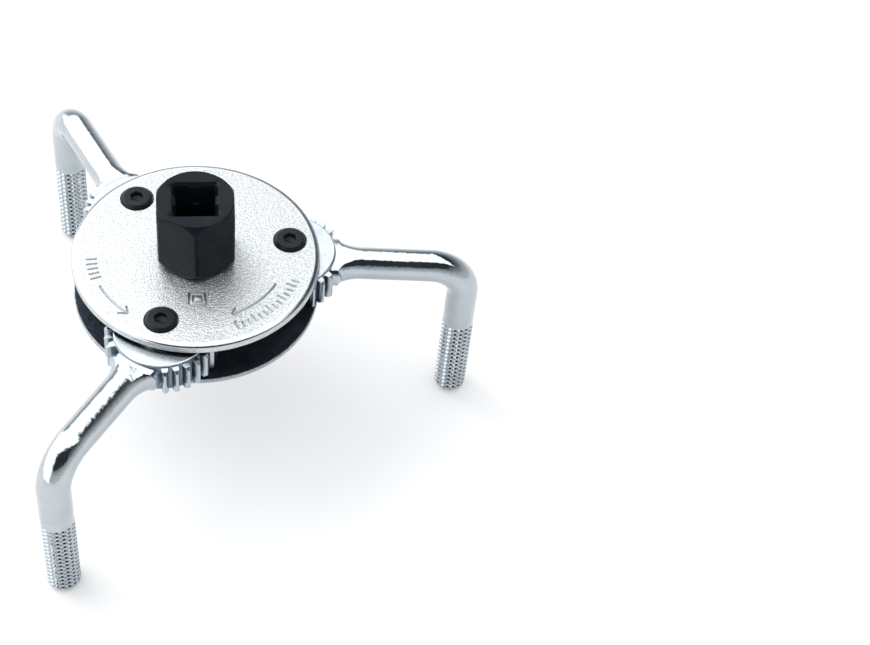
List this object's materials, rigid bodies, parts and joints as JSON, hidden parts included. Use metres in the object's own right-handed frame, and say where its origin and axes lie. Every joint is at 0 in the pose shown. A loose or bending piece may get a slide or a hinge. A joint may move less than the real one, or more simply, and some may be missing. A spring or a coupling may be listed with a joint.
{
  "type": "oil filter wrench",
  "caption": "Two-way oil filter wrench: geared jaw arms with knurled legs swing from between two round plates, driven together by a central hexagon with a square socket.",
  "frame": {"origin": "on the drive axis, in the plane of the three leg tips that the wrench stands on", "axes": "+Z along the drive axis, towards the mouth of the square socket; +X from the drive axis towards the first arm's pivot"},
  "size_m": [0.1192, 0.1266, 0.074],
  "materials": {
    "bright_zinc": "bright zinc over fine-blasted steel, lightly bevelled rim",
    "blasted_zinc": "sand-blasted blue-grey zinc, coarse sparkle",
    "chrome_plate": "polished chrome plate, knurled on the legs",
    "black_oxide": "oiled black oxide with a faint olive sheen",
    "black_screw": "black phosphate, semi-matt",
    "yellow_zinc": "pale yellow zinc",
    "washer_steel": "plain hardened steel, oiled"
  },
  "bodies": {
    "plates": {"drive_plate": "bright_zinc", "filter_plate": "blasted_zinc", "hub_washer_drive_side": "washer_steel", "hub_washer_filter_side": "washer_steel", "pivot_pin_1": "yellow_zinc", "plate_screw_1": "black_screw", "thrust_washer_drive_side_1": "washer_steel", "thrust_washer_filter_side_1": "washer_steel", "pivot_pin_2": "yellow_zinc", "plate_screw_2": "black_screw", "thrust_washer_drive_side_2": "washer_steel", "thrust_washer_filter_side_2": "washer_steel", "pivot_pin_3": "yellow_zinc", "plate_screw_3": "black_screw", "thrust_washer_drive_side_3": "washer_steel", "thrust_washer_filter_side_3": "washer_steel"},
    "drive": {"drive_spindle": "black_oxide", "sun_gear": "black_oxide"},
    "arm_1": {"jaw_arm_1": "chrome_plate"},
    "arm_2": {"jaw_arm_2": "chrome_plate"},
    "arm_3": {"jaw_arm_3": "chrome_plate"}
  },
  "joints": [
    {"name": "drive_turn", "type": "hinge", "parent": "plates", "child": "drive", "pos_m": [0, 0, 0.0474], "axis": [0, 0, 1], "range_deg": [-160, 129.5]},
    {"name": "arm_1_swing", "type": "hinge", "parent": "plates", "child": "arm_1", "pos_m": [0.02385, 0, 0.0474], "axis": [0, 0, 1], "range_deg": [-107.5, 132.5]},
    {"name": "arm_2_swing", "type": "hinge", "parent": "plates", "child": "arm_2", "pos_m": [-0.01192, 0.02065, 0.0474], "axis": [0, 0, 1], "range_deg": [-107.5, 132.5]},
    {"name": "arm_3_swing", "type": "hinge", "parent": "plates", "child": "arm_3", "pos_m": [-0.01192, -0.02065, 0.0474], "axis": [0, 0, 1], "range_deg": [-107.5, 132.5]}
  ],
  "couplings": [
    {"joint": "arm_1_swing", "follows": "drive_turn", "ratio": -0.82759},
    {"joint": "arm_2_swing", "follows": "drive_turn", "ratio": -0.82759},
    {"joint": "arm_3_swing", "follows": "drive_turn", "ratio": -0.82759}
  ]
}
